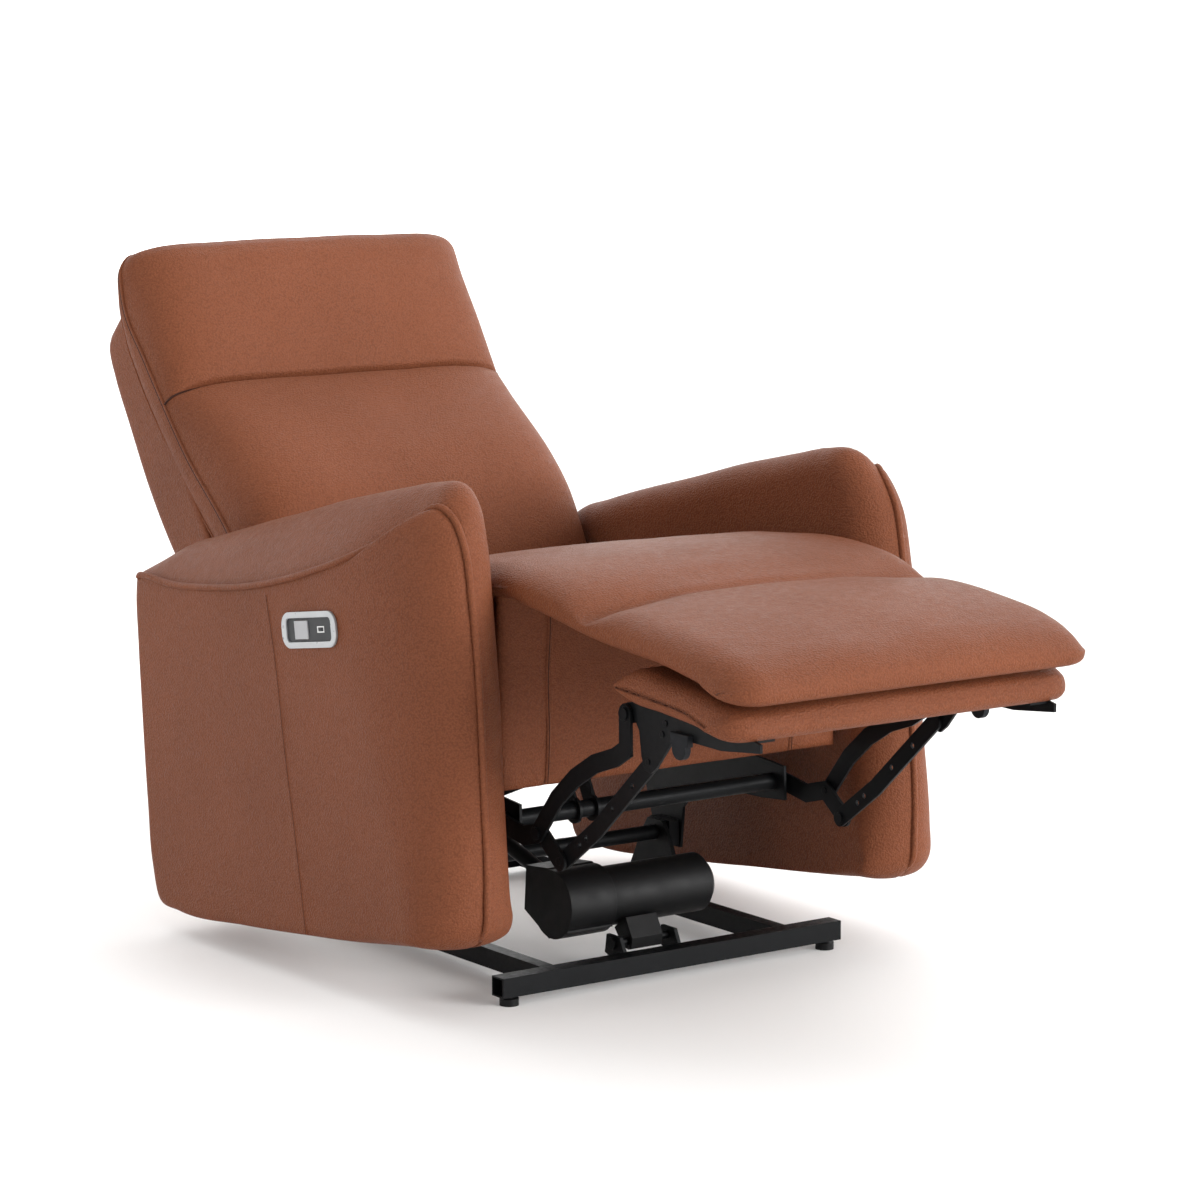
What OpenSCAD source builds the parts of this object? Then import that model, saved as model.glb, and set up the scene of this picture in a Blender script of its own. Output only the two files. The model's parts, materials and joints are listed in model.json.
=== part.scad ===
// Power recliner armchair, shown leaning back with its footrest out.
// X runs across the chair, Y from front to back, Z up from the floor.
// Until it is centred by place(), Y is measured from the front face of the front cross bar.

/* [Overall] */
// Half of the width over the two arms
arm_outer_x = 402; // [390:1:430]
// Half of the clear width between the arms
arm_inner_x = 275; // [272:1:285]
// Depth from the front cross bar back to the middle of the whole chair
depth_mid = 245; // [200:1:280]

/* [Base frame] */
// Length of the front cross bar
bar_length = 530; // [480:1:560]
// Side of the square cross bar tube
bar_side = 25; // [20:1:28]
// Height of the glide feet under the bars
foot_height = 12; // [8:1:16]
// Diameter of a glide foot
foot_diameter = 24; // [18:1:30]
// How far back the side rails run
rail_end_y = 600; // [560:5:640]

/* [Cushions] */
// Half width of the seat and leg cushions
pad_half = 269; // [255:1:270]
// Half width of the back cushions
back_half = 262; // [250:1:266]
// Thickness of the upholstery on the footrest board
footrest_pad_height = 33; // [30:1:34]

/* [Footrest linkage] */
// Thickness of every steel link
link_thick = 4; // [3:0.5:5]
// Half width of the rear links
rear_link_r = 12; // [10:1:14]
// Half width of the lifting links
lift_link_r = 10; // [9:1:12]
// Half width of the drilled links
drilled_link_r = 11; // [9:1:12]
// Radius of the pivot pins
pin_r = 5; // [4:0.5:6]
// Radial running clearance of a pin in its bore
run_gap = 0.06; // [0.03:0.01:0.1]

/* [Actuator] */
// Radius of the motor can
motor_r = 38; // [32:1:40]
// Diameter of the actuator rail tube
rail_tube_diameter = 20; // [16:1:22]

/* [Control] */
// Length of the oval control bezel on the left arm
bezel_length = 127; // [110:1:140]
// Height of the bezel
bezel_height = 45; // [38:1:50]

/* [Hidden] */

steel = [0.20, 0.21, 0.23];
leather = [0.60, 0.36, 0.26];
foam = [0.66, 0.40, 0.29];
timber = [0.72, 0.58, 0.40];
plastic = [0.08, 0.08, 0.09];
silver = [0.82, 0.83, 0.84];
grey = [0.30, 0.30, 0.31];

// Pivots, as [y, z]
tilt_pivot = [292, 114.5];
recline_pivot = [603, 409];
drive_pivot = [71, 217];
knee_pivot = [-20, 218];
lower_pivot = [-58, 189];
top_pivot = [-201, 393];
upper_pivot = [-240, 341];
lever_pivot = [93.5, 259.4];
rod_bow = [48, 2];
clevis_pivot = [48, 44];

// Layers of the linkage, from the seat outwards: [inner x, outer x]
plate_layer = [205, 209];
drilled_layer = [213, 213 + link_thick];
rear_layer = [219, 219 + link_thick];
bracket_layer = rear_layer;
lift_layer = [225, 225 + link_thick];

// The backrest leans at this angle above the horizontal; its own outlines are [s, t],
// s up along the front welt and t backwards from it, starting at back_foot
back_lean = 45.5;
back_foot = [553.4, 429.9];

// The actuator rail climbs towards the back
rail_start = [130, 110];
rail_slope = 0.3;
rail_x = -95;
carriage_y = 356;

module place() {
    translate([0, -depth_mid, 0]) children();
}

module pair() {
    children();
    mirror([1, 0, 0]) children();
}

// Draws a [y, z] outline as a solid between two x positions
module slab(x0, x1) {
    translate([x0, 0, 0]) rotate([90, 0, 90]) linear_extrude(x1 - x0) children();
}

// Draws a backrest outline, given as [s, t], between two x positions
module back_slab(x0, x1) {
    translate([0, back_foot[0], back_foot[1]]) rotate([back_lean, 0, 0])
        slab(x0, x1) mirror([0, 1]) children();
}

module rod_x(p, r, x0, x1) {
    translate([x0, p[0], p[1]]) rotate([0, 90, 0]) cylinder(r = r, h = x1 - x0, $fn = 48);
}

function unit(v) = v / norm(v);
function left_of(v) = [-v[1], v[0]];

// Sideways step at point i of a chain, long enough to keep the strap's width round the bend
function side_step(points, i) =
    let (n = len(points) - 1,
         before = left_of(unit(points[max(i, 1)] - points[max(i, 1) - 1])),
         after = left_of(unit(points[min(i, n - 1) + 1] - points[min(i, n - 1)])),
         mean = unit(before + after))
    mean / (mean * after);

// A flat strap of half width r through a chain of points, with round ends
module strap(points, r) {
    n = len(points) - 1;
    start = left_of(unit(points[1] - points[0]));
    end = left_of(unit(points[n] - points[n - 1]));
    start_angle = atan2(start[1], start[0]);
    end_angle = atan2(end[1], end[0]);
    polygon(concat(
        [for (i = [0 : n]) points[i] + r * side_step(points, i)],
        [for (a = [15 : 15 : 165]) points[n] + r * [cos(end_angle - a), sin(end_angle - a)]],
        [for (i = [n : -1 : 0]) points[i] - r * side_step(points, i)],
        [for (a = [165 : -15 : 15]) points[0] + r * [cos(start_angle + a), sin(start_angle + a)]]));
}

module hole(p, r) {
    translate(p) circle(r = r, $fn = 48);
}

// ---------- Base frame ----------

module front_cross_bar() {
    color(steel) difference() {
        translate([-bar_length / 2, 0, foot_height]) cube([bar_length, bar_side, bar_side]);
        translate([-bar_length / 2 - 1, 2, foot_height + 2])
            cube([14, bar_side - 4, bar_side - 4]);
        translate([bar_length / 2 - 13, 2, foot_height + 2])
            cube([14, bar_side - 4, bar_side - 4]);
    }
}

module rear_cross_bar() {
    color(steel) translate([-bar_length / 2, rail_end_y, foot_height])
        cube([bar_length, bar_side, bar_side]);
}

module side_rails() {
    color(steel) pair()
        translate([173, bar_side, foot_height]) cube([19, rail_end_y - bar_side, bar_side]);
}

module glide_feet() {
    stem = 3;
    color(plastic) pair() for (y = [bar_side / 2, rail_end_y + bar_side / 2])
        translate([bar_length / 2 - 17, y, 0]) {
            cylinder(d = foot_diameter, h = foot_height - stem, $fn = 48);
            cylinder(d = foot_diameter / 2, h = foot_height, $fn = 48);
        }
}

module motor_clevis() {
    cheek = 5;
    color(steel) for (x = [-65, 20]) slab(x, x + cheek) difference() {
        polygon([[bar_side, 14], [66, 30], [62, 54], [34, 54], [bar_side, 36]]);
        hole(clevis_pivot, pin_r);
    }
    color(steel) translate([-60, bar_side, 14]) cube([80, 4, 20]);
}

module clevis_pin() {
    color(steel) {
        rod_x(clevis_pivot, pin_r, -69, 29);
        rod_x(clevis_pivot, 8, -69, -65.2);
        rod_x(clevis_pivot, 8, 25.2, 29);
    }
}

module tilt_brackets() {
    color(steel) pair() slab(180, 186) difference() {
        polygon([[230, 37], [360, 37], [322, 112], [308, 132], [276, 132], [262, 112]]);
        hole(tilt_pivot, 10 + run_gap);
    }
}

// ---------- Seat frame ----------

module tilt_shaft() {
    color(steel) rod_x(tilt_pivot, 10, -204.9, 204.9);
}

module pivot_blocks() {
    color(steel) pair() slab(188, 204.5) difference() {
        polygon([[270, 97], [314, 97], [314, 132], [270, 132]]);
        hole(tilt_pivot, 10);
    }
}

module side_plates() {
    color(steel) pair() slab(plate_layer[0], plate_layer[1]) difference() {
        polygon([[44, 196], [90, 192], [230, 188], [262, 150], [268, 94], [318, 94], [332, 128],
                 [350, 182], [470, 214], [606, 370], [620, 400], [618, 417], [606, 425], [592, 421],
                 [584, 398], [520, 318], [430, 262], [250, 250], [90, 244], [46, 240]]);
        hole(drive_pivot, 11 + run_gap);
        hole(recline_pivot, 6);
    }
}

module seat_side_rails() {
    color(timber) pair() slab(243, 262) difference() {
        polygon([[62, 296], [470, 262], [492, 300], [480, 340], [62, 372]]);
        for (p = arm_bolt_places) hole(p, 4);
    }
}

module seat_front_rail() {
    color(timber) translate([-262, 28, 290]) cube([524, 24, 140]);
}

module seat_rear_rail() {
    color(timber) translate([-242.5, 455, 298]) cube([485, 24, 54]);
}

// Zig-zag wire springs from the front rail to the rear rail
module seat_springs() {
    wire = 3.5;
    reach = 20;
    loops = 16;
    front = [52, 418];
    back = [455, 334];
    fall = atan2(back[1] - front[1], back[0] - front[0]);
    run = norm(back - front) - 2 * wire;
    zigzag = [for (i = [0 : loops])
              [(i == 0 || i == loops) ? 0 : (i % 2 == 0) ? reach : -reach, run * i / loops]];
    color(steel) for (x = [-180, -90, 0, 90, 180])
        translate([x, front[0] + wire, front[1]]) rotate([fall, 0, 0])
            linear_extrude(wire) strap(zigzag, wire / 2);
}

module seat_cushion() {
    color(leather) slab(-pad_half, pad_half)
        polygon([[-118, 492], [-60, 492], [4, 484], [6, 470], [26, 468], [54, 440], [470, 376],
                 [498, 392], [498, 454], [420, 478], [300, 511], [200, 531], [100, 544], [24, 552],
                 [-60, 553], [-118, 545]]);
}

module front_panel() {
    color(leather) slab(-261, 261) polygon([[14, 268], [27, 268], [25, 464], [10, 464]]);
}

// ---------- Arms ----------

arm_bolt_places = [[100, 330], [250, 324], [400, 316]];
arm_side = [[616, 36], [400, 42], [298, 51], [141, 70], [-26, 90], [-54, 97], [-63, 115]];
arm_back = [[664, 432], [655, 299], [643, 166], [631, 73]];

module arm_frames() {
    color(timber) pair() slab(arm_inner_x, arm_inner_x + 15) difference() {
        polygon([[600, 52], [298, 66], [141, 86], [4, 103], [-4, 140], [0, 260], [10, 391],
                 [24, 500], [38, 560], [56, 592], [126, 590], [342, 531], [560, 475], [626, 444],
                 [638, 299], [628, 166], [616, 73]]);
        for (p = arm_bolt_places) hole(p, 4);
    }
}

module arm_pads() {
    inner_top = [[-62, 180], [-57, 280], [-50, 400], [-36, 510], [-20, 580], [2, 628], [34, 648],
                 [80, 645], [137, 632], [243, 603], [353, 573], [467, 543], [616, 503], [664, 480]];
    outer_top = [[-48, 180], [-42, 280], [-30, 400], [-8, 500], [22, 580], [50, 598], [127, 563],
                 [243, 520], [364, 492], [489, 474], [567, 469], [656, 475]];
    pocket = [[150, 424], [286, 424], [286, 484], [150, 484]];
    color(foam) {
        pair() slab(arm_inner_x + 15.3, arm_inner_x + 72)
            polygon(concat(arm_side, inner_top, arm_back));
        difference() {
            pair() slab(arm_inner_x + 72, arm_outer_x)
                polygon(concat([for (p = arm_side) [max(p[0], -46), p[1]]], outer_top, arm_back));
            slab(-arm_outer_x - 1, -arm_outer_x + 34) control_shape(bezel_length - 8, 37);
        }
    }
}

module arm_bolts() {
    color(steel) pair() for (p = arm_bolt_places) {
        rod_x(p, 4, 242.8, arm_inner_x + 12);
        rod_x(p, 8, 238, 242.8);
    }
}

module recline_pins() {
    color(steel) pair() {
        rod_x(recline_pivot, 6, 201.5, 217.5);
        rod_x(recline_pivot, 10, 197.5, 204.8);
    }
}

// ---------- Control on the left arm ----------

bezel_centre = [217, 454];
bezel_tilt = -8.5;
bezel_x = -arm_outer_x;

// Rounded rectangle in the plane of the arm's side
module control_shape(length, height, corner = 14) {
    translate(bezel_centre) rotate(bezel_tilt) {
        for (a = [-1, 1], b = [-1, 1])
            translate([a * (length / 2 - corner), b * (height / 2 - corner)])
                circle(r = corner, $fn = 48);
        square([length, height - 2 * corner], center = true);
        square([length - 2 * corner, height], center = true);
    }
}

module switch_bezel() {
    color(silver) difference() {
        slab(bezel_x - 3, bezel_x) control_shape(bezel_length, bezel_height, 18);
        slab(bezel_x - 4, bezel_x + 1) control_shape(bezel_length - 22, bezel_height - 15, 6);
    }
}

module switch_face() {
    color(grey) difference() {
        slab(bezel_x - 1, bezel_x + 3) control_shape(bezel_length - 22.2, bezel_height - 15.2, 6);
        slab(bezel_x - 2, bezel_x + 4) rocker_outline(0.5);
        slab(bezel_x - 2, bezel_x + 4) port_outline(0);
    }
}

module rocker_outline(gap) {
    translate(bezel_centre) rotate(bezel_tilt) translate([3, -11.5 - gap])
        translate([-gap, 0]) square([31 + 2 * gap, 23 + 2 * gap]);
}

module port_outline(gap) {
    translate(bezel_centre) rotate(bezel_tilt) translate([-34 - gap, -4 - gap])
        square([16 + 2 * gap, 8 + 2 * gap]);
}

module usb_port() {
    color("white") difference() {
        slab(bezel_x - 1.2, bezel_x + 3) port_outline(0);
        slab(bezel_x - 2, bezel_x + 2) port_outline(-1.5);
    }
}

module switch_box() {
    color(plastic) difference() {
        slab(bezel_x + 3.2, bezel_x + 32) control_shape(bezel_length - 30, 28, 6);
        slab(bezel_x + 3, bezel_x + 12) rocker_outline(2);
    }
}

module rocker_button() {
    color([0.78, 0.78, 0.79]) slab(bezel_x - 2.2, bezel_x + 5) rocker_outline(0);
}

// ---------- Backrest ----------

module back_frame() {
    color(timber) difference() {
        back_slab(-209.5, 209.5) polygon([[70, 43], [436, 43], [436, 58], [70, 58]]);
        back_slab(-170, 170) polygon([[130, 42], [300, 42], [300, 59], [130, 59]]);
        back_slab(-170, 170) polygon([[335, 42], [400, 42], [400, 59], [335, 59]]);
    }
}

module back_brackets() {
    color(steel) pair() difference() {
        back_slab(210, 214) polygon([[4, 44], [14, 36], [30, 36], [60, 43], [190, 43], [190, 59],
                                     [70, 59], [20, 66], [6, 58]]);
        rod_x(recline_pivot, 6 + run_gap, 209, 215);
    }
}

module back_springs() {
    color(steel) for (s = [160, 195, 230, 265])
        back_slab(-200, 200) translate([s, 40.9]) circle(r = 1.8, $fn = 24);
}

module lumbar_cushion() {
    color(leather) back_slab(-back_half, back_half)
        polygon([[2, 2], [26, -30], [60, -52], [110, -72], [180, -74], [300, -50], [350, -30],
                 [350, 38.5], [60, 38.5], [34, 24], [10, 14]]);
}

module head_cushion() {
    color(leather) back_slab(-back_half, back_half)
        polygon([[350.6, -30], [400, -54], [480, -76], [532, -84], [558, -68], [568, -46],
                 [562, -28], [545, -12], [520, 8], [470, 32], [440, 38.5], [350.6, 38.5]]);
}

module back_shell() {
    color(foam) back_slab(-268, 268)
        polygon([[96, 62], [440, 62], [480, 52], [508, 46], [522, 54], [505, 84], [469, 101],
                 [394, 119], [296, 140], [211, 149], [96, 146]]);
}

// ---------- Footrest linkage ----------

module torque_tube() {
    color(steel) rod_x(drive_pivot, 11, -rear_layer[0], rear_layer[0]);
}

module rear_links() {
    color(steel) pair() slab(rear_layer[0], rear_layer[1]) difference() {
        strap([lower_pivot, knee_pivot, [18, 208], drive_pivot, [108, 226]], rear_link_r);
        hole(lower_pivot, pin_r);
        hole(knee_pivot, pin_r);
    }
}

module knee_pins() {
    color(steel) pair() {
        rod_x(knee_pivot, pin_r, 218, 232);
        rod_x(knee_pivot, 8, 229.3, 232);
    }
}

module lower_pins() {
    color(steel) pair() {
        rod_x(lower_pivot, pin_r, 210.6, 224);
        rod_x(lower_pivot, 8, 210.6, 212.7);
    }
}

module drive_lever() {
    color(steel) for (x = [rail_x - 16, rail_x + 12]) slab(x, x + link_thick) difference() {
        union() {
            hole(drive_pivot, 17);
            strap([drive_pivot, lever_pivot], 11.5);
        }
        hole(drive_pivot, 11);
        hole(lever_pivot, pin_r);
    }
}

module lever_pin() {
    color(steel) rod_x(lever_pivot, pin_r, rail_x - 34, rail_x + 34);
}

module lift_links() {
    chain = [top_pivot, [-202, 350], [-180, 337], [-139, 323], [-98, 299], [-60, 267], knee_pivot];
    color(steel) pair() slab(lift_layer[0], lift_layer[1]) difference() {
        strap(chain, lift_link_r + 1.5);
        hole(top_pivot, pin_r + run_gap);
        hole(knee_pivot, pin_r + run_gap);
    }
}

module drilled_links() {
    color(steel) pair() slab(drilled_layer[0], drilled_layer[1]) difference() {
        strap([lower_pivot, [-128, 240], upper_pivot], drilled_link_r);
        hole(lower_pivot, pin_r + run_gap);
        for (p = [[-94, 215], [-107, 226], [-160, 271], [-200, 305]]) hole(p, 3.5);
    }
}

module footrest_brackets() {
    color(steel) pair() {
        slab(bracket_layer[0], bracket_layer[1]) difference() {
            polygon([[-188, 402], [-188, 386], [-199, 380], [-216, 384], [-222, 376], [-227, 345],
                     [-233, 330], [-245, 328], [-256, 336], [-292, 378], [-380, 376], [-452, 384],
                     [-452, 394], [-440, 396.6], [-388, 402.3], [-236, 414.2], [-200, 406]]);
            hole(top_pivot, pin_r);
        }
        slab(192, bracket_layer[1])
            polygon([[-236, 414.2], [-388, 402.3], [-440, 396.6], [-440, 393.2], [-388, 398.6],
                     [-236, 410.6]]);
    }
}

module top_pins() {
    color(steel) pair() {
        rod_x(top_pivot, pin_r, 218, 232);
        rod_x(top_pivot, 8, 229.3, 232);
    }
}

module upper_rivets() {
    color(steel) pair() for (p = [upper_pivot, [-274, 392], [-268, 378]])
        rod_x(p, pin_r - 1, bracket_layer[1], bracket_layer[1] + 1.4);
}

module bumpers() {
    color([0.25, 0.29, 0.35]) pair() slab(bracket_layer[1], 231) translate([-310, 368]) {
        circle(r = 13, $fn = 48);
        translate([-17, 4]) square([34, 14]);
    }
}

module footrest_board() {
    color(timber) slab(-238, 238)
        polygon([[-230, 415.2], [-240, 426], [-396, 413], [-416, 410.4], [-422, 399.4], [-388, 402.7]]);
}

module footrest_pad() {
    pad_top = 415 + footrest_pad_height;
    color(leather) slab(-260, 260)
        polygon([[-228, 418], [-240, 426.4], [-396, 413.4], [-430, 408.4], [-442, 400],
                 [-449, 410], [-446, 428], [-432, 438], [-307, pad_top],
                 [-240, pad_top + 8], [-226, 446]]);
}

module board_screws() {
    color(steel) pair() for (y = [-265, -330, -400]) {
        top = 402.3 + (y + 388) * (414.2 - 402.3) / (388 - 236);
        translate([205, y, top - 8.5]) cylinder(r = 4.5, h = 4, $fn = 32);
    }
}

module leg_cushion() {
    color(leather) slab(-pad_half, pad_half)
        polygon([[-124, 486], [-209, 472], [-307, 463], [-402, 450], [-455, 439], [-474, 450],
                 [-477, 468], [-464, 486], [-420, 500], [-330, 512], [-250, 515], [-190, 506],
                 [-160, 510], [-124, 541]]);
}

// ---------- Actuator ----------

motor_centre = [90, 95];

module motor_can() {
    color(plastic) {
        rod_x(motor_centre, motor_r, -59.8, 96);
        translate([96, motor_centre[0], motor_centre[1]]) rotate([0, 90, 0])
            cylinder(r1 = motor_r, r2 = motor_r - 9, h = 9, $fn = 64);
    }
}

module gearbox() {
    color(plastic) slab(-130, -60) {
        translate(motor_centre) circle(r = 44, $fn = 64);
        polygon([[56, 64], [96, 50], [150, 78], [146, 136], [100, 140], [60, 124]]);
    }
}

module motor_lug() {
    color(plastic) slab(-44, 4) difference() {
        polygon([[38, 36], [44, 33.6], [56, 36], [74, 57], [60, 70], [50, 74.5], [36, 50]]);
        hole(clevis_pivot, pin_r + run_gap);
        translate(motor_centre) circle(r = motor_r, $fn = 64);
    }
}

module on_rail(y) {
    translate([rail_x, y, rail_start[1] + rail_slope * (y - rail_start[0])])
        rotate([atan(rail_slope), 0, 0]) children();
}

module actuator_rail() {
    color(steel) difference() {
        on_rail(rail_start[0] + 20) rotate([-90, 0, 0]) cylinder(d = rail_tube_diameter, h = 300, $fn = 48);
        slab(-131, -59) polygon([[56, 64], [96, 50], [150, 78], [146, 136], [100, 140], [60, 124]]);
    }
}

module carriage() {
    color(plastic) on_rail(carriage_y) difference() {
        union() {
            translate([-20, -26, -17]) cube([40, 52, 34]);
            rotate([0, 90, 0]) cylinder(r = 7, h = 46, center = true, $fn = 48);
        }
        rotate([-90, 0, 0]) cylinder(d = rail_tube_diameter + 2 * run_gap, h = 60, center = true,
                                     $fn = 48);
    }
}

module push_rod() {
    end = [carriage_y, rail_start[1] + rail_slope * (carriage_y - rail_start[0])];
    color(steel) for (x = [rail_x - 28, rail_x + 24]) slab(x, x + link_thick) difference() {
        strap([lever_pivot, lever_pivot + rod_bow, end], 10);
        hole(lever_pivot, pin_r + run_gap);
    }
}

place() front_cross_bar();
place() rear_cross_bar();
place() side_rails();
place() glide_feet();
place() motor_clevis();
place() clevis_pin();
place() tilt_brackets();
place() tilt_shaft();
place() pivot_blocks();
place() side_plates();
place() seat_side_rails();
place() seat_front_rail();
place() seat_rear_rail();
place() seat_springs();
place() seat_cushion();
place() front_panel();
place() arm_frames();
place() arm_pads();
place() arm_bolts();
place() recline_pins();
place() switch_bezel();
place() switch_face();
place() usb_port();
place() switch_box();
place() rocker_button();
place() back_frame();
place() back_brackets();
place() back_springs();
place() lumbar_cushion();
place() head_cushion();
place() back_shell();
place() torque_tube();
place() rear_links();
place() knee_pins();
place() lower_pins();
place() drive_lever();
place() lever_pin();
place() lift_links();
place() drilled_links();
place() footrest_brackets();
place() top_pins();
place() upper_rivets();
place() bumpers();
place() footrest_board();
place() footrest_pad();
place() board_screws();
place() leg_cushion();
place() push_rod();
place() motor_can();
place() gearbox();
place() motor_lug();
place() actuator_rail();
place() carriage();
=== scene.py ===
"""Looks of a power recliner armchair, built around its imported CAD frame."""
import json
import math

import bmesh
import bpy
import numpy as np
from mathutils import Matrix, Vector, noise


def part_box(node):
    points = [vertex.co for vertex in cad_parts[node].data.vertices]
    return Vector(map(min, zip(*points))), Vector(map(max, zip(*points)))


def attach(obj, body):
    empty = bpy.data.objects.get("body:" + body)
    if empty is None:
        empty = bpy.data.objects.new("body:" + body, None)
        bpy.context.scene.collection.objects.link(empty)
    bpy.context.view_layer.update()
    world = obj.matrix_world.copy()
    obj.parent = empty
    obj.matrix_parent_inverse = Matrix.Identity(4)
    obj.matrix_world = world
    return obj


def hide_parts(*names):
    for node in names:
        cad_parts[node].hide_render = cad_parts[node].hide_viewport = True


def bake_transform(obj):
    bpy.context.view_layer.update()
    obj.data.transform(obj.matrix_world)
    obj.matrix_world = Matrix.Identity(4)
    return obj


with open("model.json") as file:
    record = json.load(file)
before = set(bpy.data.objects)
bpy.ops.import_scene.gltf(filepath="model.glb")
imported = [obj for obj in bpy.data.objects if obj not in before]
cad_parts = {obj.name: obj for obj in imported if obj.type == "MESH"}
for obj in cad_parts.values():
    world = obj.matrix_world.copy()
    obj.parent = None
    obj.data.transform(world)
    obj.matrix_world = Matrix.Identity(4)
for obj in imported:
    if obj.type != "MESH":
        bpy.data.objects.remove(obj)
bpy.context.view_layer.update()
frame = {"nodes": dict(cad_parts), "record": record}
MM = 0.001
# The front bar's face, and the inner and outer sides of the arms
FRONT_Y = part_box("front_cross_bar")[0].y
INNER_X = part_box("arm_frames")[1].x / MM - 15
OUTER_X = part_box("arm_pads")[1].x / MM


def at(x, y, z):
    """A point given in mm: x across, y back from the front bar's face, z up."""
    return Vector((x * MM, FRONT_Y + y * MM, z * MM))


BACK_LEAN = math.radians(45.5)
BACK_FOOT = (553.4, 429.9)


def on_back(x, s, t):
    """A point on the backrest: s up along its front welt, t behind it, in mm."""
    y = BACK_FOOT[0] + s * math.cos(BACK_LEAN) + t * math.sin(BACK_LEAN)
    z = BACK_FOOT[1] + s * math.sin(BACK_LEAN) - t * math.cos(BACK_LEAN)
    return at(x, y, z)


# ---------- Camera, floor and light ----------

CAMERA_PLACE = (-2974.5, -3974.8, 1255.1)
CAMERA_LENS = 121.34
CAMERA_DOWN = 8.855
CAMERA_TURN = 35.687
FLOOR_HALF = 40
BACKDROP_AWAY = 12
BACKDROP_TURN = 35.7


def add_camera():
    """A long lens from the front left, looking slightly down."""
    data = bpy.data.cameras.new("camera")
    data.lens = CAMERA_LENS
    data.sensor_width = 36
    data.clip_end = 100
    cam = bpy.data.objects.new("camera", data)
    cam.location = at(*CAMERA_PLACE)
    cam.rotation_euler = (math.radians(90 - CAMERA_DOWN), 0, math.radians(-CAMERA_TURN))
    bpy.context.scene.collection.objects.link(cam)
    bpy.context.scene.camera = cam


def sun(name, direction, strength, softness):
    """Soft parallel light that comes from the given direction."""
    data = bpy.data.lights.new(name, "SUN")
    data.energy = strength * math.pi
    data.angle = math.radians(softness)
    lamp = bpy.data.objects.new(name, data)
    lamp.rotation_euler = (-Vector(direction)).to_track_quat("-Z", "Y").to_euler()
    bpy.context.scene.collection.objects.link(lamp)


def stage_plane(name, corners, colour, emission):
    """A matt plane of the studio that also glows a little by itself."""
    mesh = bpy.data.meshes.new(name)
    mesh.from_pydata(corners, [], [(0, 1, 2, 3)])
    plane = bpy.data.objects.new(name, mesh)
    bpy.context.scene.collection.objects.link(plane)
    mat = bpy.data.materials.new(name)
    mat.use_nodes = True
    shader = mat.node_tree.nodes["Principled BSDF"]
    shader.inputs["Base Color"].default_value = (*colour, 1)
    shader.inputs["Roughness"].default_value = 0.7
    shader.inputs["Specular IOR Level"].default_value = 0.1
    shader.inputs["Emission Color"].default_value = (1, 1, 1, 1)
    shader.inputs["Emission Strength"].default_value = emission
    mesh.materials.append(mat)


def add_studio():
    """Pale floor, white backdrop behind the chair, and three soft suns."""
    scene = bpy.context.scene
    scene.view_settings.view_transform = "Standard"
    world = bpy.data.worlds.new("studio")
    world.use_nodes = True
    back = world.node_tree.nodes["Background"]
    back.inputs["Color"].default_value = (1, 1, 1, 1)
    back.inputs["Strength"].default_value = 0.3
    scene.world = world
    sun("key", (0.42, -0.84, 0.2), 1.38, 36)
    sun("fill", (-0.9, -0.2, 0.3), 0.41, 60)
    sun("top", (0.1, -0.1, 1), 0.34, 80)
    half = FLOOR_HALF
    stage_plane("floor", [(-half, -half, 0), (half, -half, 0), (half, half, 0),
                          (-half, half, 0)], (0.82, 0.81, 0.80), 0.1)
    turn = math.radians(BACKDROP_TURN)
    away = Vector((math.sin(turn), math.cos(turn), 0))
    side = Vector((away.y, -away.x, 0)) * half
    base = away * BACKDROP_AWAY
    up = Vector((0, 0, half))
    stage_plane("backdrop", [base - side, base + side, base + side + up, base - side + up],
                (0.8, 0.8, 0.8), 1.1)


# ---------- Materials ----------

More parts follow.
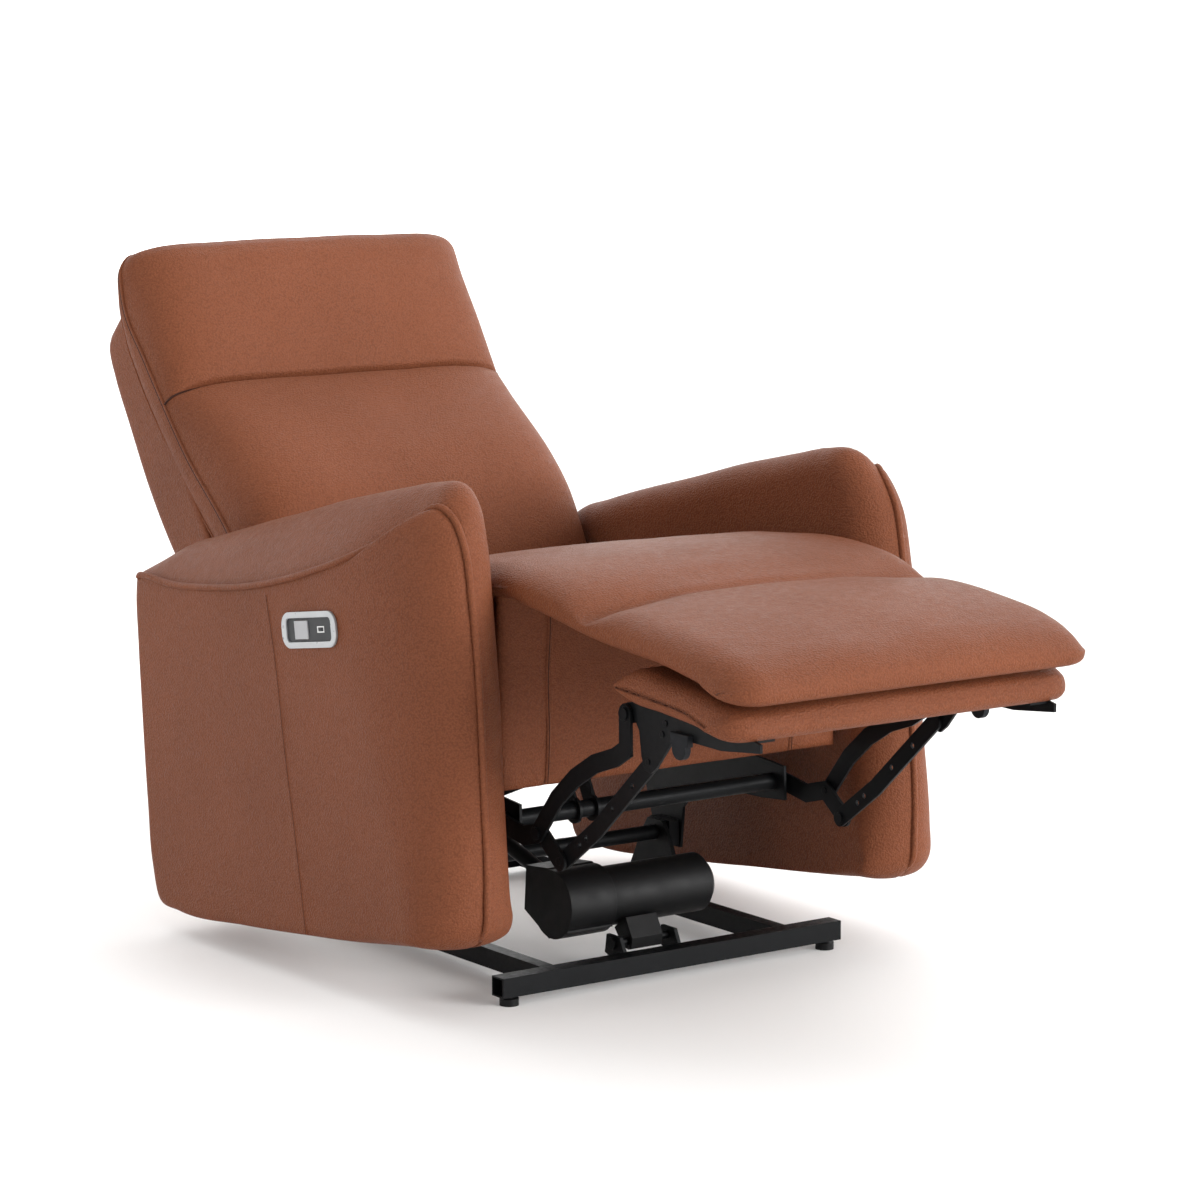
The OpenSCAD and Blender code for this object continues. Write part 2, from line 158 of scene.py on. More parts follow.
class Shader:
    """A Principled material with short calls for the nodes that feed it."""

    def __init__(self, name, colour, roughness, metallic=0.0):
        self.mat = bpy.data.materials.new(name)
        self.mat.use_nodes = True
        self.tree = self.mat.node_tree
        self.main = self.tree.nodes["Principled BSDF"]
        self.colour = (*colour, 1)
        self.main.inputs["Base Color"].default_value = self.colour
        self.main.inputs["Roughness"].default_value = roughness
        self.main.inputs["Metallic"].default_value = metallic
        self.place = self.tree.nodes.new("ShaderNodeTexCoord").outputs["Object"]
        self.normal = None

    def node(self, kind, **values):
        """A new node with its sockets or settings given by name."""
        made = self.tree.nodes.new(kind)
        for key, value in values.items():
            if key in made.inputs:
                made.inputs[key].default_value = value
            else:
                setattr(made, key, value)
        return made

    def link(self, out, into):
        self.tree.links.new(out, into)

    def noise(self, scale, detail=3.0, rough=0.55):
        made = self.node("ShaderNodeTexNoise", Scale=scale, Detail=detail, Roughness=rough)
        self.link(self.place, made.inputs["Vector"])
        return made.outputs["Fac"]

    def cells(self, scale):
        made = self.node("ShaderNodeTexVoronoi", Scale=scale)
        self.link(self.place, made.inputs["Vector"])
        return made.outputs["Distance"]

    def ramp(self, value, low, high, out_low, out_high):
        """The value, stretched from one range onto another."""
        made = self.node("ShaderNodeMapRange")
        for key, number in zip(("From Min", "From Max", "To Min", "To Max"),
                               (low, high, out_low, out_high)):
            made.inputs[key].default_value = number
        self.link(value, made.inputs["Value"])
        return made.outputs["Result"]

    def tint(self, factor, dark, light):
        """The base colour, between two shades of itself."""
        mix = self.node("ShaderNodeMix", data_type="RGBA")
        mix.inputs["A"].default_value = (*[c * dark for c in self.colour[:3]], 1)
        mix.inputs["B"].default_value = (*[c * light for c in self.colour[:3]], 1)
        self.link(factor, mix.inputs["Factor"])
        return mix.outputs["Result"]

    def multiply(self, a, b):
        mix = self.node("ShaderNodeMix", data_type="RGBA", blend_type="MULTIPLY")
        mix.inputs["Factor"].default_value = 1
        self.link(a, mix.inputs["A"])
        self.link(b, mix.inputs["B"])
        return mix.outputs["Result"]

    def bump(self, height, strength, distance):
        made = self.node("ShaderNodeBump", Strength=strength, Distance=distance)
        self.link(height, made.inputs["Height"])
        if self.normal is not None:
            self.link(self.normal, made.inputs["Normal"])
        self.normal = made.outputs["Normal"]

    def round_edges(self, radius):
        """Small rounds on hard edges. It comes before any bump."""
        made = self.node("ShaderNodeBevel", samples=4, Radius=radius)
        self.normal = made.outputs["Normal"]

    def done(self, base=None, rough=None):
        if base is not None:
            self.link(base, self.main.inputs["Base Color"])
        if rough is not None:
            self.link(rough, self.main.inputs["Roughness"])
        if self.normal is not None:
            self.link(self.normal, self.main.inputs["Normal"])
        return self.mat


def leather(name, colour):
    """Fine pebbled leather: cells for the grain, pores with painted highlights and shade on the
    pebbles, slow tone drift, worn high edges.
    """
    sh = Shader(name, colour, 0.5)
    sh.main.inputs["Specular IOR Level"].default_value = 0.1
    drift = sh.tint(sh.ramp(sh.noise(3.2, 4), 0.3, 0.7, 0, 1), 0.90, 1.09)
    grain = sh.cells(420)
    # Pebble centres lighter and their borders darker: the pores' own tone, plus painted
    # micro-highlights and shade of the grain
    pores_and_glints = sh.ramp(grain, 0.1, 0.75, 1.13, 0.80)
    grey = sh.node("ShaderNodeCombineColor")
    for channel in ("Red", "Green", "Blue"):
        sh.link(pores_and_glints, grey.inputs[channel])
    base = sh.multiply(drift, grey.outputs["Color"])
    wear = sh.node("ShaderNodeNewGeometry").outputs["Pointiness"]
    worn = sh.node("ShaderNodeMix", data_type="RGBA")
    worn.inputs["B"].default_value = (*[min(1, c * 1.35) for c in colour], 1)
    sh.link(sh.ramp(wear, 0.53, 0.62, 0, 0.55), worn.inputs["Factor"])
    sh.link(base, worn.inputs["A"])
    sh.bump(sh.noise(45, 3, 0.5), 0.03, 0.0012)
    sh.bump(grain, 0.8, 0.0012)
    rough = sh.ramp(sh.noise(90, 3), 0.3, 0.7, 0.48, 0.6)
    return sh.done(worn.outputs["Result"], rough)


def powder_coat(name, colour):
    """Painted steel with a faint orange peel."""
    sh = Shader(name, colour, 0.45, 0.1)
    sh.main.inputs["Specular IOR Level"].default_value = 0.1
    sh.round_edges(0.0009)
    sh.bump(sh.noise(1500, 2), 0.10, 0.0003)
    base = sh.tint(sh.noise(35, 4), 0.8, 1.3)
    return sh.done(base, sh.ramp(sh.noise(140, 3), 0.3, 0.7, 0.36, 0.5))


def moulded(name, colour, roughness, texture=0.25):
    """Moulded plastic, rubber or waxed thread."""
    sh = Shader(name, colour, roughness)
    sh.main.inputs["Specular IOR Level"].default_value = 0.16
    sh.round_edges(0.0012)
    sh.bump(sh.noise(1100, 2), texture, 0.0003)
    base = sh.tint(sh.noise(20, 3), 0.93, 1.07)
    return sh.done(base, sh.ramp(sh.noise(60, 3), 0.3, 0.7, roughness - 0.06, roughness + 0.06))


def satin_metal(name, colour):
    """Satin metal, or plastic coated to look like it."""
    sh = Shader(name, colour, 0.36, 0.35)
    sh.round_edges(0.0015)
    sh.bump(sh.noise(900, 2), 0.06, 0.0002)
    return sh.done(sh.tint(sh.noise(40, 2), 0.95, 1.05),
                   sh.ramp(sh.noise(120, 2), 0.3, 0.7, 0.27, 0.37))


def plywood(name, colour):
    """Pale plywood with a wavy grain."""
    sh = Shader(name, colour, 0.6)
    wave = sh.node("ShaderNodeTexWave", Scale=14.0, Distortion=5.0, Detail=4.0)
    sh.link(sh.place, wave.inputs["Vector"])
    sh.bump(wave.outputs["Fac"], 0.15, 0.0005)
    base = sh.tint(wave.outputs["Fac"], 0.78, 1.1)
    return sh.done(base, sh.ramp(sh.noise(70), 0.3, 0.7, 0.5, 0.7))


# Dark thread, also used for tubes that paint shade lines along the back piping and the head seam
THREAD_AND_SHADE_LINE = moulded("leather_thread_and_shade_line", (0.035, 0.012, 0.007), 0.7, 0.1)
SLOTS = {
    "leather": leather("leather", (0.166, 0.0525, 0.0238)),
    "black_steel": powder_coat("black_steel", (0.005, 0.0054, 0.006)),
    "spring_steel": satin_metal("spring_steel", (0.35, 0.35, 0.36)),
    "black_plastic": moulded("black_plastic", (0.0035, 0.0035, 0.0038), 0.5, 0.9),
    "timber": plywood("timber", (0.50, 0.34, 0.19)),
    "silver_plastic": satin_metal("silver_plastic", (0.40, 0.41, 0.42)),
    "grey_plastic": moulded("grey_plastic", (0.035, 0.036, 0.038), 0.4, 0.05),
    "white_plastic": moulded("white_plastic", (0.75, 0.75, 0.74), 0.4, 0.05),
    "light_grey_plastic": moulded("light_grey_plastic", (0.36, 0.36, 0.37), 0.42, 0.05),
    "bumper_rubber": moulded("bumper_rubber", (0.008, 0.009, 0.011), 0.6, 0.2),
}


# ---------- Mesh helpers ----------

def spline(keys, count, closed=False):
    """Rows smoothly through the keyed rows, evenly spaced along the first two columns."""
    pts = np.array(keys, float)
    if closed:
        pts = np.vstack([pts[-2:], pts, pts[:3]])
    steps = np.linalg.norm(np.diff(pts[:, :2], axis=0), axis=1)
    time = np.concatenate([[0], np.cumsum(np.maximum(steps, 1e-6))])
    slope = np.gradient(pts, time, axis=0)
    if closed:
        wanted = np.linspace(time[2], time[len(keys) + 2], count, endpoint=False)
    else:
        wanted = np.linspace(time[0], time[-1], count)
    return hermite(time, pts, slope, wanted)


def hermite(time, pts, slope, wanted):
    """Cubic pieces through pts at the given times, read at the wanted times."""
    index = np.clip(np.searchsorted(time, wanted, side="right") - 1, 0, len(time) - 2)
    width = (time[index + 1] - time[index])[:, None]
    u = ((wanted - time[index]) / width[:, 0])[:, None]
    a, b = pts[index], pts[index + 1]
    ma, mb = slope[index] * width, slope[index + 1] * width
    return ((2 * u ** 3 - 3 * u ** 2 + 1) * a + (u ** 3 - 2 * u ** 2 + u) * ma
            + (3 * u ** 2 - 2 * u ** 3) * b + (u ** 3 - u ** 2) * mb)


def graph(*keys):
    """A smooth function of one variable through (input, output) pairs."""
    pts = np.array(keys, float)
    slope = np.gradient(pts[:, 1:], pts[:, 0], axis=0)

    def value(x):
        x = min(max(x, pts[0, 0]), pts[-1, 0])
        return float(hermite(pts[:, 0], pts[:, 1:], slope, np.array([x]))[0, 0])
    return value


def smoothstep(low, high, x):
    """0 at low, 1 at high, with a soft start and end."""
    u = min(max((x - low) / (high - low), 0), 1)
    return u * u * (3 - 2 * u)


def dent(x, centre, width):
    """A bell curve, 1 at its centre."""
    return math.exp(-((x - centre) / width) ** 2)


def ripple(point, scale, seed):
    """Slow unevenness of stuffed leather, from -1 to 1."""
    return noise.noise(Vector(point) * scale + Vector((seed, seed * 1.7, seed * 0.3)))


def along_path(path, k):
    """The direction of a path of points at its k-th point."""
    return (path[min(k + 1, len(path) - 1)] - path[max(k - 1, 0)]).normalized()


def add_mesh(name, verts, faces, body, slot="leather", material=None):
    """A smooth visible piece of a material slot, riding on a body unless it is None."""
    mesh = bpy.data.meshes.new(name)
    mesh.from_pydata([tuple(v) for v in verts], [], faces)
    bm = bmesh.new()
    bm.from_mesh(mesh)
    bmesh.ops.remove_doubles(bm, verts=bm.verts, dist=2e-5)
    bmesh.ops.dissolve_degenerate(bm, edges=bm.edges, dist=1e-6)
    bmesh.ops.recalc_face_normals(bm, faces=bm.faces)
    bm.to_mesh(mesh)
    bm.free()
    mesh.polygons.foreach_set("use_smooth", [True] * len(mesh.polygons))
    obj = bpy.data.objects.new(name, mesh)
    bpy.context.scene.collection.objects.link(obj)
    mesh.materials.append(material or SLOTS[slot])
    if body:
        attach(obj, body)
    return obj


def loft(rows, closed_rows=True):
    """Verts and quads through rows of points, each row as long as the others."""
    verts = [p for row in rows for p in row]
    n = len(rows[0])
    faces = []
    for r in range(len(rows) - 1):
        for i in range(n if closed_rows else n - 1):
            j = (i + 1) % n
            faces.append((r * n + i, r * n + j, (r + 1) * n + j, (r + 1) * n + i))
    return verts, faces


def edge_loop(nu, nv):
    """Indices (i, j) round the border of a grid, in order."""
    return ([(i, 0) for i in range(nu)] + [(nu - 1, j) for j in range(1, nv)]
            + [(i, nv - 1) for i in range(nu - 2, -1, -1)]
            + [(0, j) for j in range(nv - 2, 0, -1)])


def sides_and_top(nu, nv, step=1):
    """Border indices (i, j) of a grid, up one side, across its last row, down the other."""
    return ([(0, j) for j in range(0, nv, step)] + [(i, nv - 1) for i in range(1, nu, step)]
            + [(nu - 1, j) for j in range(nv - 2, -1, -step)])


def pillow(name, front, back, nu, nv, body, rim_rows, bulge=0.0):
    """A closed form from two grids of points, joined round their borders by a gusset."""
    verts = [front(i, j) for j in range(nv) for i in range(nu)]
    verts += [back(i, j) for j in range(nv) for i in range(nu)]
    count = nu * nv
    faces = []
    for j in range(nv - 1):
        for i in range(nu - 1):
            a = j * nu + i
            faces.append((a, a + 1, a + nu + 1, a + nu))
            faces.append((count + a, count + a + nu, count + a + nu + 1, count + a + 1))
    ring = edge_loop(nu, nv)
    middle = sum((verts[j * nu + i] for i, j in ring), Vector()) / len(ring)
    rows = [[j * nu + i for i, j in ring]]
    for k in range(1, rim_rows + 1):
        w = k / (rim_rows + 1)
        start = len(verts)
        for i, j in ring:
            a, b = verts[j * nu + i], verts[count + j * nu + i]
            out = a - middle
            if (b - a).length > 1e-6:
                out -= out.project(b - a)
            push = out.normalized() * bulge * MM * math.sin(math.pi * w)
            verts.append(a.lerp(b, w) + push)
        rows.append(list(range(start, start + len(ring))))
    rows.append([count + j * nu + i for i, j in ring])
    for low, high in zip(rows, rows[1:]):
        for i in range(len(ring)):
            j = (i + 1) % len(ring)
            faces.append((low[i], low[j], high[j], high[i]))
    return add_mesh(name, verts, faces, body)


def tube(name, path, radius, body, material=None, sides=10):
    """A piping or wire of round section along a path of points."""
    rows = []
    side = (path[1] - path[0]).orthogonal()
    for k, p in enumerate(path):
        along = along_path(path, k)
        side = (side - along * side.dot(along)).normalized()
        lift = side.cross(along).normalized()
        rows.append([p + (side * math.cos(a) + lift * math.sin(a)) * radius * MM
                     for a in (2 * math.pi * i / sides for i in range(sides))])
    rows.insert(0, [path[0]] * sides)
    rows.append([path[-1]] * sides)
    verts, faces = loft(rows)
    return add_mesh(name, verts, faces, body, material=material)


def seam(name, path, outward, body, width=3.0, height=0.9):
    """A sewn seam: two puffed lips with a dark valley between them."""
    profile = [(-width, -0.5), (-width * 0.6, height * 0.8), (-width * 0.3, height),
               (-0.7, height * 0.55), (0, -0.7), (0.7, height * 0.55), (width * 0.3, height),
               (width * 0.6, height * 0.8), (width, -0.5)]
    rows = []
    for k, p in enumerate(path):
        along = along_path(path, k)
        side = along.cross(outward).normalized()
        rows.append([p + (side * a + outward * b) * MM for a, b in profile])
    verts, faces = loft(rows, closed_rows=False)
    tube(name + "_thread", [p + outward * 0.25 * MM for p in path], 0.75, body, material=THREAD_AND_SHADE_LINE,
         sides=8)
    return add_mesh(name, verts, faces, body)


# ---------- Arms ----------

# Stations round the arm's outline, from the front foot up, over the top, down the back:
# crest y, z; welt x, y, z; inset of the inner face; two handles of the band
# (rise, x, rise); where the flat outer face begins, y, z
ARM_STATIONS = [
    (-38, 93, 331, -38, 94, 20, -10, 300, -1, 12, 106),
    (-59, 114, 331, -59, 114, 31, -17, 300, -2, 10, 124),
    (-64, 160, 331, -64, 160, 46, -25, 300, -2, 24, 166),
    (-58, 280, 331, -58, 280, 58, -30, 300, -2, 72, 280),
    (-50, 400, 331, -50, 400, 58, -30, 300, -2, 124, 395),
    (-35, 510, 331, -35, 510, 56, -28, 300, -1, 150, 455),
    (-20, 580, 331, -19, 577, 52, -24, 300, 2, 166, 480),
    (4, 630, 332, 8, 612, 46, -16, 302, 8, 180, 492),
    (36, 650, 340, 30, 620, 40, -6, 306, 16, 196, 499),
    (80, 646, 362, 72, 588, 38, 2, 318, 24, 214, 502),
    (137, 633, 388, 128, 557, 36, 7, 330, 29, 235, 500),
    (243, 611, 399, 240, 518, 42, 8, 335, 30, 290, 482),
    (353, 585, 400, 356, 490, 44, 8, 335, 28, 366, 463),
    (467, 557, 400, 468, 474, 46, 8, 335, 25, 468, 446),
    (567, 530, 400, 568, 467, 44, 6, 334, 20, 560, 438),
    (628, 511, 400, 630, 471, 40, 4, 328, 13, 612, 436),
    (655, 490, 399, 651, 471, 30, 0, 320, 6, 632, 428),
    (665, 455, 398, 658, 449, 14, -4, 300, 0, 642, 420),
    (661, 380, 397, 655, 379, 10, -3, 300, 0, 646, 378),
    (655, 299, 397, 649, 298, 10, -3, 300, 0, 640, 299),
    (643, 166, 397, 637, 166, 10, -3, 300, 0, 628, 168),
    (633, 80, 397, 627, 84, 10, -3, 300, 0, 616, 92),
    (612, 36, 397, 610, 40, 10, -3, 300, 0, 596, 54),
    (560, 31, 397, 560, 34, 8, -3, 300, 0, 556, 50),
    (392, 44, 397, 392, 47, 8, -3, 300, 0, 392, 62),
    (245, 60, 396, 245, 63, 8, -3, 300, 0, 247, 78),
    (83, 79, 385, 83, 82, 8, -3, 300, 0, 92, 96),
    (0, 88, 345, 0, 90, 16, -6, 300, 0, 34, 99),
]
ARM_COUNT = 320
# The outer face stays this far inside the frame's outer side
FACE_GAP = 0.4
# The welt's piping ends where the welt passes this y at the rear, and sinks in before it
WELT_END = 652
# Rows of the inner face and of the band's start that keep their plain shape
PLAIN_ROWS = 8
ARM_SEAM = [(322, 484), (300, 395), (284, 305), (258, 182), (236, 66)]


def arm_rows():
    """Rows of (x, y, z) round the arm, from its inner face over the band to its outer face."""
    table = spline(ARM_STATIONS, ARM_COUNT, closed=True)
    tangent = np.roll(table[:, :2], -1, axis=0) - np.roll(table[:, :2], 1, axis=0)
    tangent /= np.linalg.norm(tangent, axis=1)[:, None]
    for _ in range(3):
        tangent = (np.roll(tangent, 1, axis=0) + tangent * 2 + np.roll(tangent, -1, axis=0)) / 4
    tangent /= np.linalg.norm(tangent, axis=1)[:, None]
    normal = np.stack([-tangent[:, 1], tangent[:, 0]], axis=1)
    crest, welt_x, welt, face = table[:, 0:2], table[:, 2:3], table[:, 3:5], table[:, 9:11]
    inset, rise1, handle_x, rise2 = (table[:, k:k + 1] for k in (5, 6, 7, 8))
    inner = crest - normal * inset
    handle1 = crest + normal * rise1
    handle2 = crest + normal * rise2
    spine_u = np.clip((face[:, 0:1] - 130) / 450, 0, 1)
    spine = np.hstack([110 + spine_u * 430, 300 - spine_u * 20])
    inner_x = np.full((ARM_COUNT, 1), INNER_X - 1.0)
    outer_x = np.full((ARM_COUNT, 1), OUTER_X - FACE_GAP)
    rows = []
    for w in (0.0, 0.25, 0.5, 0.7, 0.85, 0.94):
        rows.append(np.hstack([inner_x, spine * (1 - w) + inner * w]))
    for u in [k / 14 for k in range(14)] + [0.962, 0.984, 1]:
        b = [(1 - u) ** 3, 3 * u * (1 - u) ** 2, 3 * u * u * (1 - u), u ** 3]
        x = b[0] * inner_x + b[1] * inner_x + b[2] * handle_x + b[3] * welt_x
        yz = b[0] * inner + b[1] * handle1 + b[2] * handle2 + b[3] * welt
        rows.append(np.hstack([x, yz]))
    welt_row = len(rows) - 1
    for a in [0.05, 0.1] + [math.pi / 2 * k / 15 for k in range(2, 16)]:
        yz = welt + (face - welt) * (1 - math.cos(a))
        x = welt_x + (outer_x - welt_x) * math.sin(a)
        rows.append(np.hstack([x, yz]))
    for w in (0.06, 0.15, 0.3, 0.5, 0.75, 1.0):
        rows.append(np.hstack([outer_x, face * (1 - w) + spine * w]))
    return rows, welt_row, normal


def add_arm(side, sign):
    """A closed padded arm with its piped welt and the upright seam of its outer panel."""
    rows, welt_row, normal = arm_rows()
    groove = {welt_row - 1: 0.5, welt_row: 2.6, welt_row + 1: 1.4}
    shaped = []
    for r, row in enumerate(rows):
        pts = []
        for j, (x, y, z) in enumerate(row):
            deep = groove.get(r, 0)
            x -= deep
            y -= normal[j, 0] * deep * 0.6
            z -= normal[j, 1] * deep * 0.6
            if r < PLAIN_ROWS:
                fade = 0.0
            elif r > welt_row:
                fade = smoothstep(0, 40, abs(x - OUTER_X))
            else:
                fade = 1.0
            wave = ripple((x, y, z), 0.008, 3 + sign) * 1.6 * fade
            y += normal[j, 0] * wave
            z += normal[j, 1] * wave
            pts.append(at(sign * x, y, z))
        shaped.append(pts)
    verts, faces = loft(shaped)
    arm = add_mesh(f"arm_{side}", verts, faces, "seat_body")
    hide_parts("arm_pads")
    welt = rows[welt_row]
    last = next(j for j in range(ARM_COUNT) if welt[j][1] > WELT_END)
    path = []
    for j in range(2, last + 1):
        lift = 1.4 - 6 * smoothstep(last - 7, last, j) - 6 * smoothstep(6, 2, j)
        path.append(at(sign * (welt[j][0] + 1.0), welt[j][1] + normal[j, 0] * lift,
                       welt[j][2] + normal[j, 1] * lift))
    tube(f"arm_welt_{side}", path, 4.3, "seat_body", sides=12)
    seam(f"arm_seam_{side}", [at(sign * (OUTER_X - 0.6), y, z) for y, z in spline(ARM_SEAM, 60)],
         Vector((sign, 0, 0)), "seat_body")


# ---------- Seat and leg pad, footrest pad ----------

# Height of a pad's side edge, as a share of its thickness, and how square its roll is
PAD_RIM = 0.38
PAD_ROLL = 2.4


def slab_points(top, bottom, half, roll, corner, edge_drop, seed, crease=None):
    """The xs across a soft slab, and a function that gives the points of its two skins.
    top and bottom are equal lists of (y, z) from back to front. The sides roll over a
    width of roll down to the rim, corner rounds the front corners, and crease is the y of
    a dip across the top."""
    flat = [(half - roll) * k / 16 for k in range(17)]
    flat += [half - roll + roll * math.sin(math.pi / 2 * k / 9) for k in range(1, 10)]
    xs = [-x for x in flat[:0:-1]] + flat
    front_y = top[-1][0]

    def shape(i, j, upper):
        x = xs[i]
        y, zt = top[j]
        yb, zb = bottom[j]
        into = max(0.0, (abs(x) - (half - roll)) / roll)
        keep = max(0.0, 1 - into ** PAD_ROLL) ** (1 / PAD_ROLL)
        thick = zt - zb
        rim = zb + thick * PAD_RIM
        drop = edge_drop * min(1, thick / 30) * abs(x / half) ** 3
        z_top = rim + (zt - rim - drop) * keep
        if crease and upper:
            outer = smoothstep(90, half, abs(x))
            z_top -= (4 * dent(y, crease, 8) + 13 * outer * dent(y, crease, 26)) * keep
        plan = max(0.0, abs(x) - (half - corner))
        inset = corner - math.sqrt(max(corner ** 2 - plan ** 2, 0))
        pull = smoothstep(front_y + 110, front_y, y)
        z = z_top if upper else zb + (rim - zb) * (1 - keep)
        wave = ripple((x, y, 0), 0.011, seed) * 2.2 * keep * min(1, thick / 25) if upper else 0
        return at(x, (y if upper else yb) + inset * pull, z + wave)
    return xs, shape


def add_seat_and_leg_pad():
    """One skin over seat and leg pad, creased between them."""
    count = 300
    top = spline([(500, 436), (490, 449), (466, 462), (420, 478), (300, 510), (200, 529),
                  (100, 544), (24, 551), (-60, 550), (-110, 543), (-145, 533), (-172, 526),
                  (-200, 524), (-250, 523), (-330, 516), (-400, 504), (-440, 492), (-462, 480),
                  (-475, 467), (-478, 456)], count)
    bottom = spline([(500, 420), (476, 392), (420, 392), (300, 408), (200, 422), (64, 446),
                     (44, 472), (26, 498), (2, 503), (-50, 497), (-100, 490), (-150, 482),
                     (-175, 478), (-209, 474), (-250, 470), (-307, 466), (-370, 456),
                     (-402, 451), (-440, 442), (-462, 440), (-475, 446), (-478, 456)], count)
    xs, shape = slab_points(top, bottom, half=269, roll=46, corner=44, edge_drop=10, seed=2,
                            crease=-172)
    pad = pillow("seat_and_leg_pad", lambda i, j: shape(i, j, True),
                 lambda i, j: shape(i, j, False), len(xs), count, None, rim_rows=1)
    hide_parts("seat_cushion", "leg_cushion")
    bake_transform(pad)


def add_footrest_pad():
    """The thin padded cover of the footrest board."""
    count = 90
    top = spline([(-222, 434), (-226, 444), (-240, 453), (-307, 453), (-402, 441), (-432, 434),
                  (-446, 425), (-450, 414)], count)
    bottom = spline([(-222, 434), (-226, 424), (-240, 417), (-307, 409.5), (-388, 402),
                     (-420, 397), (-442, 397), (-450, 406), (-450, 414)], count)
    xs, shape = slab_points(top, bottom, half=261, roll=26, corner=40, edge_drop=3, seed=5)
    pad = pillow("footrest_cover", lambda i, j: shape(i, j, True),
                 lambda i, j: shape(i, j, False), len(xs), count, "footrest", rim_rows=1)
    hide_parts("footrest_pad")


# ---------- Back cushion and shell ----------

# t along s on the backrest: its welt, the crown of its front and the line of its rear
BACK_WELT = graph((-10, 6), (125, 0), (262, 11), (360, 6), (420, 1), (517, -12), (545, -29),
                  (570, -46), (592, -46))
BACK_CROWN = graph((-10, -23), (40, -58), (100, -86), (160, -89), (240, -76), (300, -60),
                   (346, -49), (400, -63), (450, -78), (500, -90), (530, -94), (548, -89),
                   (560, -77), (566, -60), (568, -46))
BACK_REAR = graph((-10, 20), (20, 26), (60, 37), (150, 41), (219, 50), (301, 46), (402, 40),
                  (471, 27), (520, 4), (552, -22), (575, -32), (592, -34))
BACK_FIRST = -10
BACK_TOP = 568
BACK_CORNER = 26
BACK_WIDTH = graph((-10, 268), (250, 269), (352, 271), (420, 272), (592, 272))
HEAD_SEAM = 346


def back_half(s):
    """Half the cushion's width at s, with its top corners rounded."""
    over = max(0.0, s - (BACK_TOP - BACK_CORNER))
    return BACK_WIDTH(s) - BACK_CORNER + math.sqrt(max(BACK_CORNER ** 2 - over ** 2, 0))


def add_back_cushion():
    """Lumbar and head parts in one skin, pulled in by the seam between them."""
    nu = 91
    us = [math.sin(math.pi / 2 * (2 * i / (nu - 1) - 1)) for i in range(nu)]
    plain = [BACK_FIRST + (BACK_TOP - BACK_FIRST) * (1 - (1 - j / 160) ** 1.25)
             for j in range(161)]
    fine = [HEAD_SEAM + k for k in range(-14, 15)]
    ss = sorted([s for s in plain if abs(s - HEAD_SEAM) > 15] + fine)
    nv = len(ss)

    def front(i, j):
        u, s = us[i], ss[j]
        puff = (1 - abs(u) ** 7) ** 0.5
        seam_dip = 12 * dent(s, HEAD_SEAM, 3.2) + 5 * dent(s, HEAD_SEAM, 13)
        seam_dip *= 1 - abs(u) ** 24
        welt = BACK_WELT(s)
        t = welt + (BACK_CROWN(s) + seam_dip - welt) * puff
        t += ripple((u * 300, s, 0), 0.009, 7) * 2.5 * puff
        return on_back(u * back_half(s), s, t)

    def back(i, j):
        s = ss[j]
        wobble = ripple((s, us[i] * 200, 3), 0.03, 5) * 2.0
        return on_back(us[i] * (back_half(s) - 3), min(s, BACK_TOP - 10),
                       BACK_REAR(s) + wobble)

    cushion = pillow("back_cushion", front, back, nu, nv, "backrest", rim_rows=4, bulge=4)
    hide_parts("lumbar_cushion", "head_cushion")
    ring = sides_and_top(nu, nv)
    tube("back_piping", [front(i, j) for i, j in ring], 2.8, "backrest")
    # A thin dark tube just behind the piping: painted shade along the piping's edge
    shade = [on_back(us[i] * (back_half(ss[j]) + 0.6), ss[j] + 1.5, BACK_WELT(ss[j]) + 3.4)
             for i, j in ring]
    tube("back_piping_shade", shade, 1.5, "backrest", material=THREAD_AND_SHADE_LINE, sides=8)
    middle = ss.index(HEAD_SEAM)
    # A thick dark tube along the head seam: the seam's thread, and painted shade of the seam's
    # crease
    tube("back_seam_thread_and_shade_line", [front(i, middle) for i in range(nu)], 1.8, "backrest",
         material=THREAD_AND_SHADE_LINE, sides=8)
    tube("back_rear_piping", [back(i, j) for i, j in sides_and_top(nu, nv, 2)], 2.0,
         "backrest")


def add_back_shell():
    """The padded shell behind the cushion, with wings that reach forward at its sides."""
    rear = graph((96, 146), (211, 148), (296, 139), (394, 118), (469, 100), (500, 88), (514, 78))
    wing = graph((96, 52), (153, 46), (315, 21), (396, 14), (491, 4), (514, 8))
    half = 269
    radius = 20

    def ring(s, shrink):
        tr, tw = rear(s) - shrink, wing(s) + shrink
        side = half - shrink * 0.4
        inner = side - 8
        left = [(-inner, 62), (-inner, tw + 5), (-side + 4, tw), (-side, tw + 5)]
        left += [(-side, tw + 5 + (tr - radius - tw - 5) * k / 8) for k in range(1, 9)]
        left += [(-side + radius * (1 - math.cos(a)), tr - radius + radius * math.sin(a))
                 for a in (math.pi / 2 * k / 6 for k in range(1, 7))]
        middle = [-side + radius + 2 * (side - radius) * k / 24 for k in range(1, 24)]
        pts = left + [(x, tr + 7 * (1 - (x / side) ** 2)) for x in middle]
        pts += [(-x, t) for x, t in reversed(left)]
        return [on_back(x, s, t) for x, t in pts]

    levels = [(96, 10), (98, 5), (103, 1.5)]
    levels += [(110 + (500 - 110) * k / 60, 0) for k in range(61)]
    levels += [(506, 1.5), (511, 5), (514, 11)]
    rows = [ring(s, shrink) for s, shrink in levels]
    verts, faces = loft(rows)
    n = len(rows[0])
    faces.append(tuple(range(n)))
    faces.append(tuple(len(verts) - 1 - k for k in range(n)))
    shell = add_mesh("back_shell_cover", verts, faces, "backrest")
    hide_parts("back_shell")


# ---------- Front panel and port ----------

PANEL_SEAM_X = 190
PANEL_LEAN = 4
# The skin rises this far above the panel, up to the pad over it
PANEL_RISE = 50


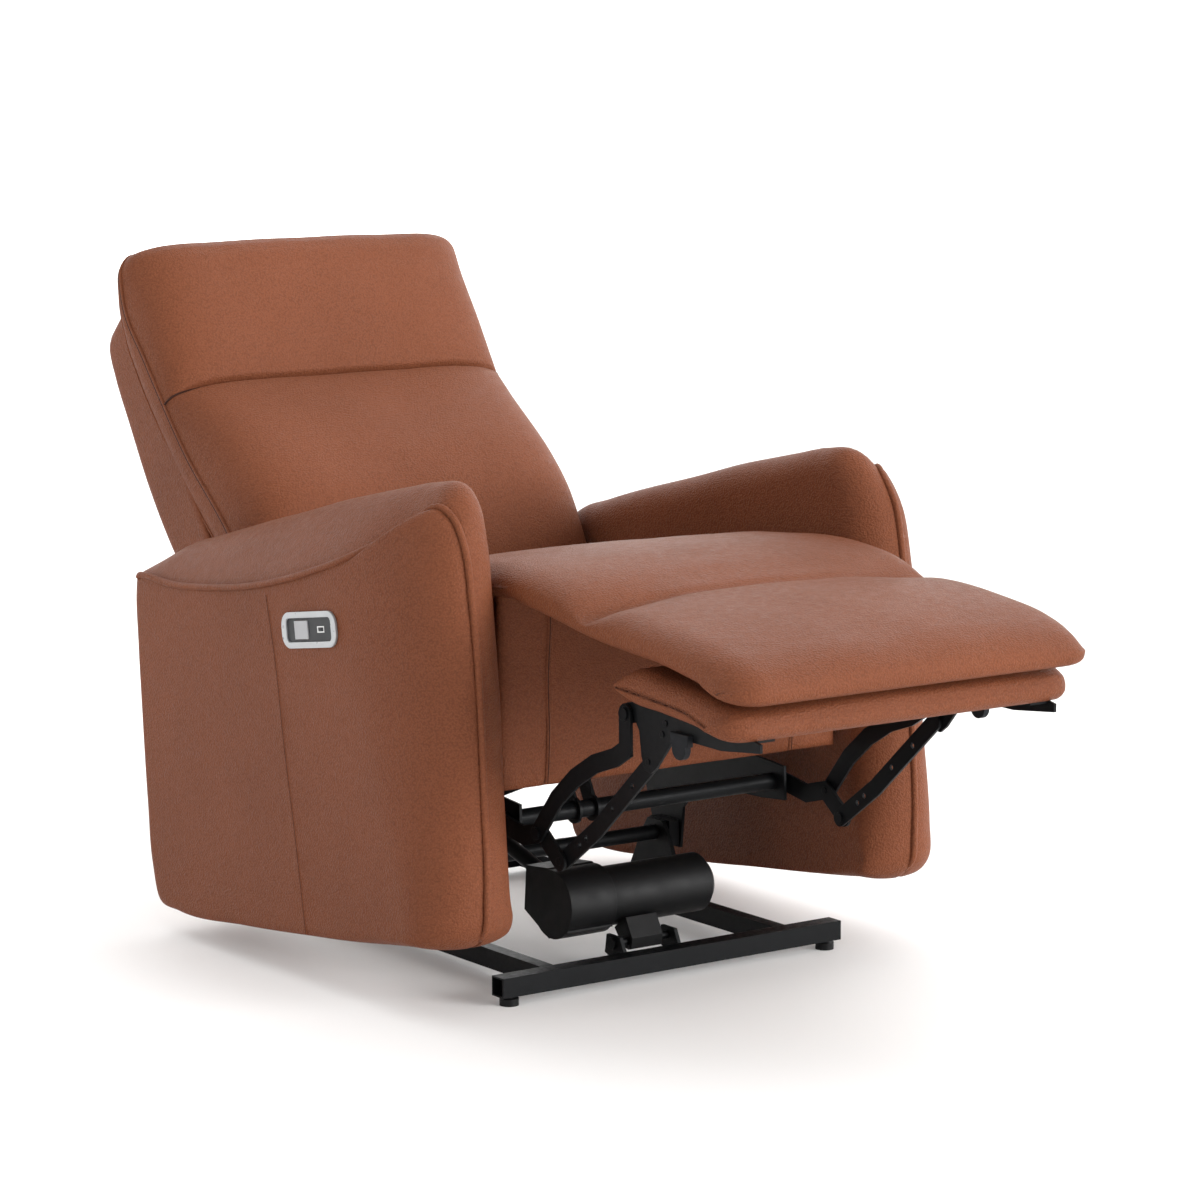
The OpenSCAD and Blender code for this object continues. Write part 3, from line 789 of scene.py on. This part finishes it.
def add_front_panel():
    """The panel below the seat, with two upright seams."""
    low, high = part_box("front_panel")
    nu, nv = 61, 31
    half = high.x / MM
    bottom, top = low.z / MM, high.z / MM + PANEL_RISE

    def skin(i, j, front):
        x = -half + 2 * half * i / (nu - 1)
        v = j / (nv - 1)
        z = bottom + (top - bottom) * v
        if not front:
            return at(x, 26 - PANEL_LEAN * v, z)
        edge = min(1, min(x + half, half - x, z - bottom) / 10)
        y = 14 - PANEL_LEAN * v - 3 * math.sqrt(max(edge, 0))
        y += 2.2 * (dent(x, -PANEL_SEAM_X, 6) + dent(x, PANEL_SEAM_X, 6))
        y -= ripple((x, z, 0), 0.014, 9) * 1.2
        return at(x, y, z)

    panel = pillow("front_panel_cover", lambda i, j: skin(i, j, True),
                   lambda i, j: skin(i, j, False), nu, nv, "seat_body", rim_rows=1)
    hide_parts("front_panel")
    for side, x in (("left", -PANEL_SEAM_X), ("right", PANEL_SEAM_X)):
        path = [at(x + 1.2 * math.sin(z / 23),
                   11.2 - PANEL_LEAN * (z - bottom) / (top - bottom), z)
                for z in np.linspace(bottom + 2, top, 40)]
        seam(f"front_seam_{side}", path, Vector((0, -1, 0)), "seat_body")


def add_port_backing():
    """Dark floor of the port's opening."""
    low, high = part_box("usb_port")
    skin = -OUTER_X * MM
    rows = []
    for x in (skin - 0.0004, skin + 0.0006):
        rows.append([Vector((x, y, z)) for y, z in ((low.y, low.z), (high.y, low.z),
                                                    (high.y, high.z), (low.y, high.z))])
    verts, faces = loft(rows)
    add_mesh("port_backing", verts, faces + [(0, 1, 2, 3), (4, 5, 6, 7)], "seat_body",
             "grey_plastic")


def dress_frame():
    """Give every CAD node the material of its slot."""
    for part in frame["record"]["subparts"]:
        cad = frame["nodes"][part["node"]]
        cad.data.materials.clear()
        cad.data.materials.append(SLOTS[part["material_slot"]])


add_camera()
add_studio()
dress_frame()
add_arm("left", -1)
add_arm("right", 1)
add_seat_and_leg_pad()
add_footrest_pad()
add_back_cushion()
add_back_shell()
add_front_panel()
add_port_backing()
